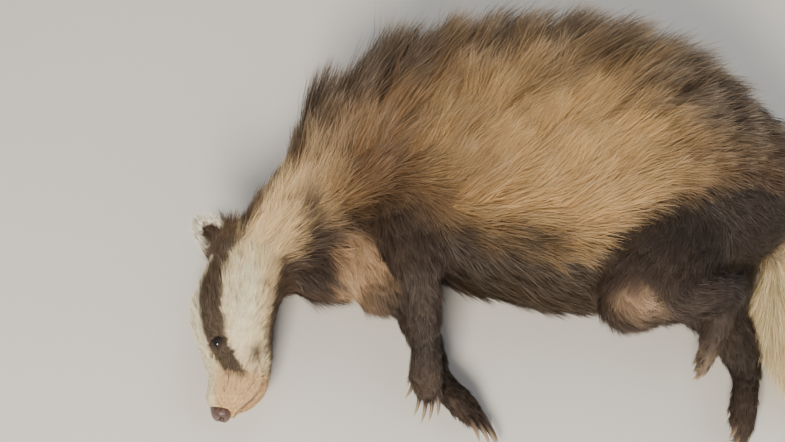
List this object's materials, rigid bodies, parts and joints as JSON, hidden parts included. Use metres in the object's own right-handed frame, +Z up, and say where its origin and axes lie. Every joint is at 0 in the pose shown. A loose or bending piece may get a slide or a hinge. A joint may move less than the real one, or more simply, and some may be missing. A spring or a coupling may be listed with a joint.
{
  "type": "european badger",
  "caption": "European badger lying on its side with its head tucked towards its chest, a still life-size museum-type model with a striped head and a long grizzled coat.",
  "frame": {"origin": "on the floor, under the middle of the whole animal's bounding box", "axes": "+Z up; +X from the nose end to the tail end; +Y towards the arched back; the feet and belly face -Y; the left side is up"},
  "size_m": [0.5402, 0.375, 0.1742],
  "materials": {
    "head_fur": "short soft fur, cream with a dark stripe through the eye",
    "neck_fur": "dense tan fur",
    "body_fur": "long coarse grizzled hair",
    "leg_fur": "short dark fur",
    "tail_fur": "long cream hair",
    "ear_fur": "short fur, white rim",
    "claw_horn": "satin horn",
    "nose_leather": "moist pebbled skin",
    "eye_dark": "wet gloss"
  },
  "bodies": {
    "root": {"head": "head_fur", "lower_jaw": "head_fur", "neck": "neck_fur", "trunk": "body_fur", "tail": "tail_fur", "nose": "nose_leather", "eye_left": "eye_dark", "eye_right": "eye_dark", "ear_left": "ear_fur", "ear_right": "ear_fur", "upper_arm_left": "leg_fur", "forearm_left": "leg_fur", "forepaw_left": "leg_fur", "thigh_left": "leg_fur", "shin_left": "leg_fur", "hindpaw_left": "leg_fur", "claw_fore_left_1": "claw_horn", "claw_fore_left_2": "claw_horn", "claw_fore_left_3": "claw_horn", "claw_fore_left_4": "claw_horn", "claw_fore_left_5": "claw_horn", "claw_hind_left_1": "claw_horn", "claw_hind_left_2": "claw_horn", "claw_hind_left_3": "claw_horn", "claw_hind_left_4": "claw_horn", "claw_hind_left_5": "claw_horn", "upper_arm_right": "leg_fur", "forearm_right": "leg_fur", "forepaw_right": "leg_fur", "thigh_right": "leg_fur", "shin_right": "leg_fur", "hindpaw_right": "leg_fur", "claw_fore_right_1": "claw_horn", "claw_fore_right_2": "claw_horn", "claw_fore_right_3": "claw_horn", "claw_fore_right_4": "claw_horn", "claw_fore_right_5": "claw_horn", "claw_hind_right_1": "claw_horn", "claw_hind_right_2": "claw_horn", "claw_hind_right_3": "claw_horn", "claw_hind_right_4": "claw_horn", "claw_hind_right_5": "claw_horn"}
  },
  "joints": []
}
